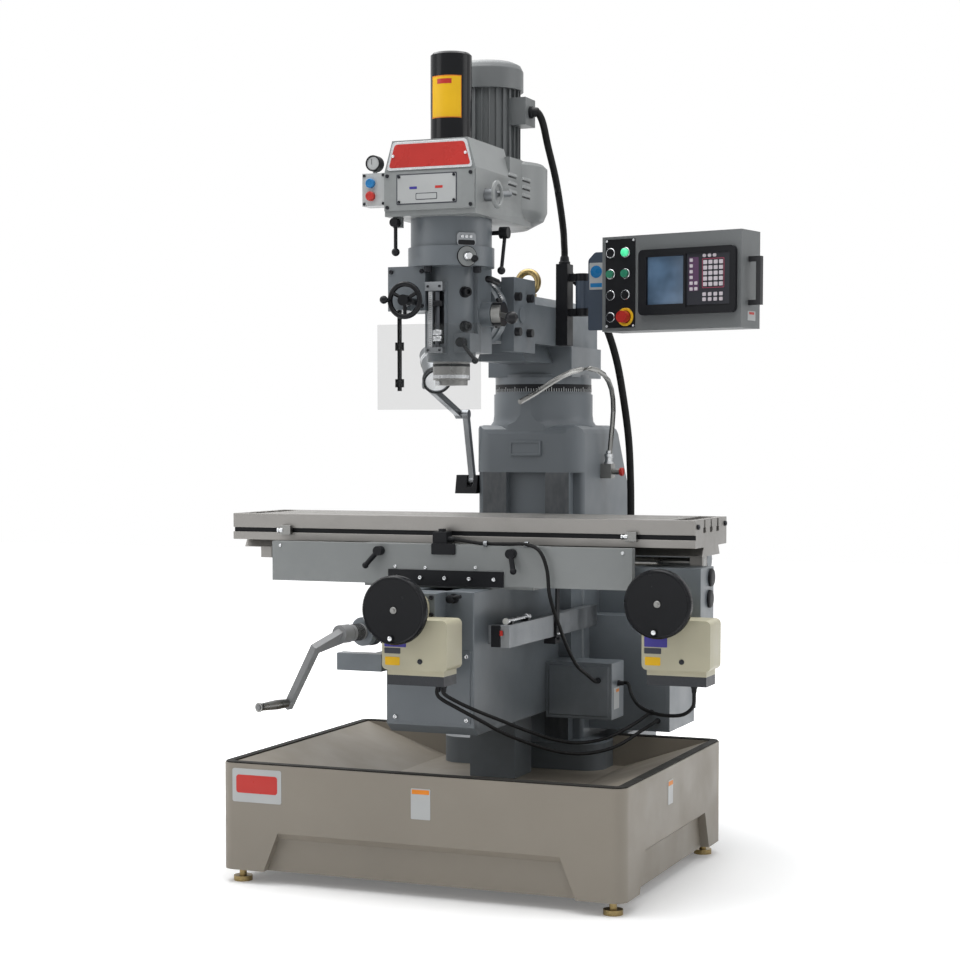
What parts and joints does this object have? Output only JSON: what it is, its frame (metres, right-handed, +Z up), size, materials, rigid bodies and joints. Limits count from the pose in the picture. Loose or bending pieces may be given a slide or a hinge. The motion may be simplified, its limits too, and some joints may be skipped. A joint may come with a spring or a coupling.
{
  "type": "vertical turret knee milling machine",
  "caption": "Vertical turret knee mill with a slotted table on saddle and knee, a swivelling ram and head, power feeds, a control console, a work lamp and a chip pan base.",
  "frame": {"origin": "on the floor under the centre of the chip pan", "axes": "+X to the operator's right along the table, +Y to the back along the ram, +Z up"},
  "size_m": [1.4427, 1.6282, 2.268],
  "materials": {
    "casting_paint": "smooth enamel over cast iron",
    "pan_paint": "satin enamel",
    "light_paint": "smooth enamel",
    "zinc": "yellow zinc plating",
    "steel": "turned",
    "table_steel": "ground",
    "cream_plastic": "satin",
    "black_plastic": "satin",
    "lamp_tube": "satin",
    "scale_metal": "extruded",
    "console_paint": "fine texture",
    "green_plastic": "moulded",
    "red_plastic": "moulded",
    "clear_plastic": "clear sheet",
    "cable_rubber": "smooth jacket"
  },
  "bodies": {
    "base": {"base_pan": "pan_paint", "levelling_feet": "zinc", "column": "casting_paint", "screw_pedestal": "casting_paint", "electrical_cabinet": "casting_paint", "lamp_base": "black_plastic", "coolant_hose": "steel", "console_cable": "cable_rubber"},
    "knee": {"knee": "casting_paint", "y_bearing_bracket": "casting_paint", "y_feed_unit": "cream_plastic", "crank_bracket": "casting_paint", "y_scale": "scale_metal", "junction_box": "casting_paint", "knee_cables": "cable_rubber"},
    "saddle": {"saddle": "light_paint", "way_cover": "black_plastic", "x_gearbox": "casting_paint", "x_feed_unit": "cream_plastic", "limit_switch": "black_plastic", "saddle_cables": "cable_rubber"},
    "table": {"table": "table_steel", "trip_dogs": "steel", "x_screw": "steel"},
    "turret": {"turret": "casting_paint"},
    "ram": {"ram": "casting_paint", "lifting_eye": "zinc", "console_post": "black_plastic"},
    "console": {"console_box": "console_paint", "console_display": "black_plastic"},
    "head": {"head_casting": "casting_paint", "belt_housing": "light_paint", "motor": "casting_paint", "drawbar_cover": "black_plastic", "drawbar_switch": "light_paint", "motor_cable": "cable_rubber"},
    "cabinet_door": {"cabinet_door": "casting_paint"},
    "lamp_lower_arm": {"lamp_lower_arm": "lamp_tube"},
    "lamp_upper_arm": {"lamp_upper_arm": "lamp_tube"},
    "lamp_head": {"lamp_head": "steel"},
    "elevating_screw": {"elevating_screw": "steel"},
    "y_handwheel": {"y_handwheel": "black_plastic"},
    "knee_crank": {"knee_crank": "casting_paint"},
    "crank_grip": {"crank_grip": "casting_paint"},
    "x_handwheel": {"x_handwheel": "black_plastic"},
    "table_lock_left": {"table_lock_left": "black_plastic"},
    "table_lock_right": {"table_lock_right": "black_plastic"},
    "start_button": {"start_button": "green_plastic"},
    "coolant_button": {"coolant_button": "green_plastic"},
    "emergency_stop": {"emergency_stop": "red_plastic"},
    "knuckle": {"knuckle": "casting_paint"},
    "quill": {"quill": "steel"},
    "spindle": {"spindle": "steel"},
    "quill_lever": {"quill_lever": "black_plastic"},
    "feed_handwheel": {"feed_handwheel": "black_plastic"},
    "splash_guard": {"splash_guard": "clear_plastic"},
    "speed_lever": {"speed_lever": "black_plastic"},
    "gear_lever": {"gear_lever": "black_plastic"},
    "brake_lever": {"brake_lever": "lamp_tube"},
    "quill_lock": {"quill_lock": "black_plastic"}
  },
  "joints": [
    {"name": "knee_slide", "type": "slide", "parent": "base", "child": "knee", "axis": [0, 0, 1], "range_m": [-0.1, 0.3], "deforming": ["knee_cables"]},
    {"name": "lift_screw_turn", "type": "hinge", "parent": "knee", "child": "elevating_screw", "pos_m": [0, 0.16, 0.5], "axis": [0, 0, 1], "continuous": true},
    {"name": "saddle_slide", "type": "slide", "parent": "knee", "child": "saddle", "axis": [0, 1, 0], "range_m": [-0.2, 0.2], "deforming": ["saddle_cables"]},
    {"name": "y_wheel_turn", "type": "hinge", "parent": "knee", "child": "y_handwheel", "pos_m": [0, -0.552, 0.778], "axis": [0, 1, 0], "continuous": true},
    {"name": "table_slide", "type": "slide", "parent": "saddle", "child": "table", "axis": [1, 0, 0], "range_m": [-0.4, 0.4]},
    {"name": "x_wheel_turn", "type": "hinge", "parent": "saddle", "child": "x_handwheel", "pos_m": [0.631, -0.312, 0.795], "axis": [0, 1, 0], "continuous": true},
    {"name": "knee_crank_turn", "type": "hinge", "parent": "knee", "child": "knee_crank", "pos_m": [-0.1, -0.355, 0.71], "axis": [-0.2504, -0.9681, 0], "continuous": true},
    {"name": "crank_grip_turn", "type": "hinge", "parent": "knee_crank", "child": "crank_grip", "pos_m": [-0.19972, -0.32921, 0.5316], "axis": [-0.2504, -0.9681, 0], "continuous": true},
    {"name": "table_lock_left_turn", "type": "hinge", "parent": "saddle", "child": "table_lock_left", "pos_m": [-0.195, -0.246, 0.91], "axis": [0, 1, 0], "range_deg": [-45, 45]},
    {"name": "table_lock_right_turn", "type": "hinge", "parent": "saddle", "child": "table_lock_right", "pos_m": [0.195, -0.246, 0.91], "axis": [0, 1, 0], "range_deg": [-45, 45]},
    {"name": "turret_swivel", "type": "hinge", "parent": "base", "child": "turret", "pos_m": [0, 0.51, 1.35], "axis": [0, 0, 1], "range_deg": [-5, 60], "deforming": ["console_cable"]},
    {"name": "ram_slide", "type": "slide", "parent": "turret", "child": "ram", "axis": [0, 1, 0], "range_m": [-0.15, 0.2]},
    {"name": "console_swivel", "type": "hinge", "parent": "ram", "child": "console", "pos_m": [0.169, 0.384, 1.64], "axis": [0, 0, 1], "range_deg": [-30, 30]},
    {"name": "start_button_press", "type": "slide", "parent": "console", "child": "start_button", "axis": [0.2147, 0.9767, 0], "range_m": [0, 0.005], "stiffness_N_per_m": 600, "springref_m": -0.002},
    {"name": "coolant_button_press", "type": "slide", "parent": "console", "child": "coolant_button", "axis": [0.2147, 0.9767, 0], "range_m": [0, 0.005], "stiffness_N_per_m": 600, "springref_m": -0.002},
    {"name": "emergency_stop_press", "type": "slide", "parent": "console", "child": "emergency_stop", "axis": [0.2147, 0.9767, 0], "range_m": [0, 0.005], "stiffness_N_per_m": 600, "springref_m": -0.002},
    {"name": "head_nod", "type": "hinge", "parent": "ram", "child": "knuckle", "pos_m": [0, 0.063, 1.565], "axis": [-1, 0, 0], "range_deg": [-20, 20]},
    {"name": "head_tilt", "type": "hinge", "parent": "knuckle", "child": "head", "pos_m": [0, -0.075, 1.565], "axis": [0, 1, 0], "range_deg": [-45, 45], "deforming": ["motor_cable"]},
    {"name": "quill_slide", "type": "slide", "parent": "head", "child": "quill", "axis": [0, 0, 1], "range_m": [-0.127, 0]},
    {"name": "spindle_turn", "type": "hinge", "parent": "quill", "child": "spindle", "pos_m": [0, -0.205, 1.4], "axis": [0, 0, 1], "continuous": true},
    {"name": "quill_lever_turn", "type": "hinge", "parent": "head", "child": "quill_lever", "pos_m": [0.15, -0.167, 1.554], "axis": [1, 0, 0], "range_deg": [0, 365]},
    {"name": "feed_wheel_turn", "type": "hinge", "parent": "head", "child": "feed_handwheel", "pos_m": [-0.064, -0.37, 1.584], "axis": [0, 1, 0], "continuous": true},
    {"name": "guard_swing", "type": "hinge", "parent": "head", "child": "splash_guard", "pos_m": [-0.1, -0.325, 1.4], "axis": [0, 0, 1], "range_deg": [-90, 0]},
    {"name": "speed_lever_turn", "type": "hinge", "parent": "head", "child": "speed_lever", "pos_m": [-0.11, -0.327, 1.794], "axis": [0, 1, 0], "range_deg": [-30, 30]},
    {"name": "gear_lever_turn", "type": "hinge", "parent": "head", "child": "gear_lever", "pos_m": [0.11, -0.147, 1.775], "axis": [1, 0, 0], "range_deg": [-30, 30]},
    {"name": "brake_lever_turn", "type": "hinge", "parent": "head", "child": "brake_lever", "pos_m": [0.131, -0.279, 1.862], "axis": [1, 0, 0], "range_deg": [-30, 30]},
    {"name": "quill_lock_turn", "type": "hinge", "parent": "head", "child": "quill_lock", "pos_m": [0.06, -0.267, 1.475], "axis": [0, 1, 0], "range_deg": [-40, 40]},
    {"name": "lamp_base_hinge", "type": "hinge", "parent": "base", "child": "lamp_lower_arm", "pos_m": [-0.194, 0.415, 1.09], "axis": [-1, 0, 0], "range_deg": [-15, 15]},
    {"name": "lamp_elbow_hinge", "type": "hinge", "parent": "lamp_lower_arm", "child": "lamp_upper_arm", "pos_m": [-0.21, 0.363, 1.29], "axis": [-1, 0, 0], "range_deg": [-25, 25]},
    {"name": "lamp_tilt_hinge", "type": "hinge", "parent": "lamp_upper_arm", "child": "lamp_head", "pos_m": [-0.2, 0.12, 1.374], "axis": [-1, 0, 0], "range_deg": [-30, 30]},
    {"name": "cabinet_door_hinge", "type": "hinge", "parent": "base", "child": "cabinet_door", "pos_m": [0.422, 0.715, 0.5], "axis": [0, 0, 1], "range_deg": [0, 110]}
  ],
  "couplings": [
    {"joint": "lift_screw_turn", "follows": "knee_slide", "rad_per_m": 1256.6},
    {"joint": "y_wheel_turn", "follows": "saddle_slide", "rad_per_m": 1256.6},
    {"joint": "x_wheel_turn", "follows": "table_slide", "rad_per_m": 1256.6},
    {"joint": "quill_lever_turn", "follows": "quill_slide", "rad_per_m": -50}
  ]
}
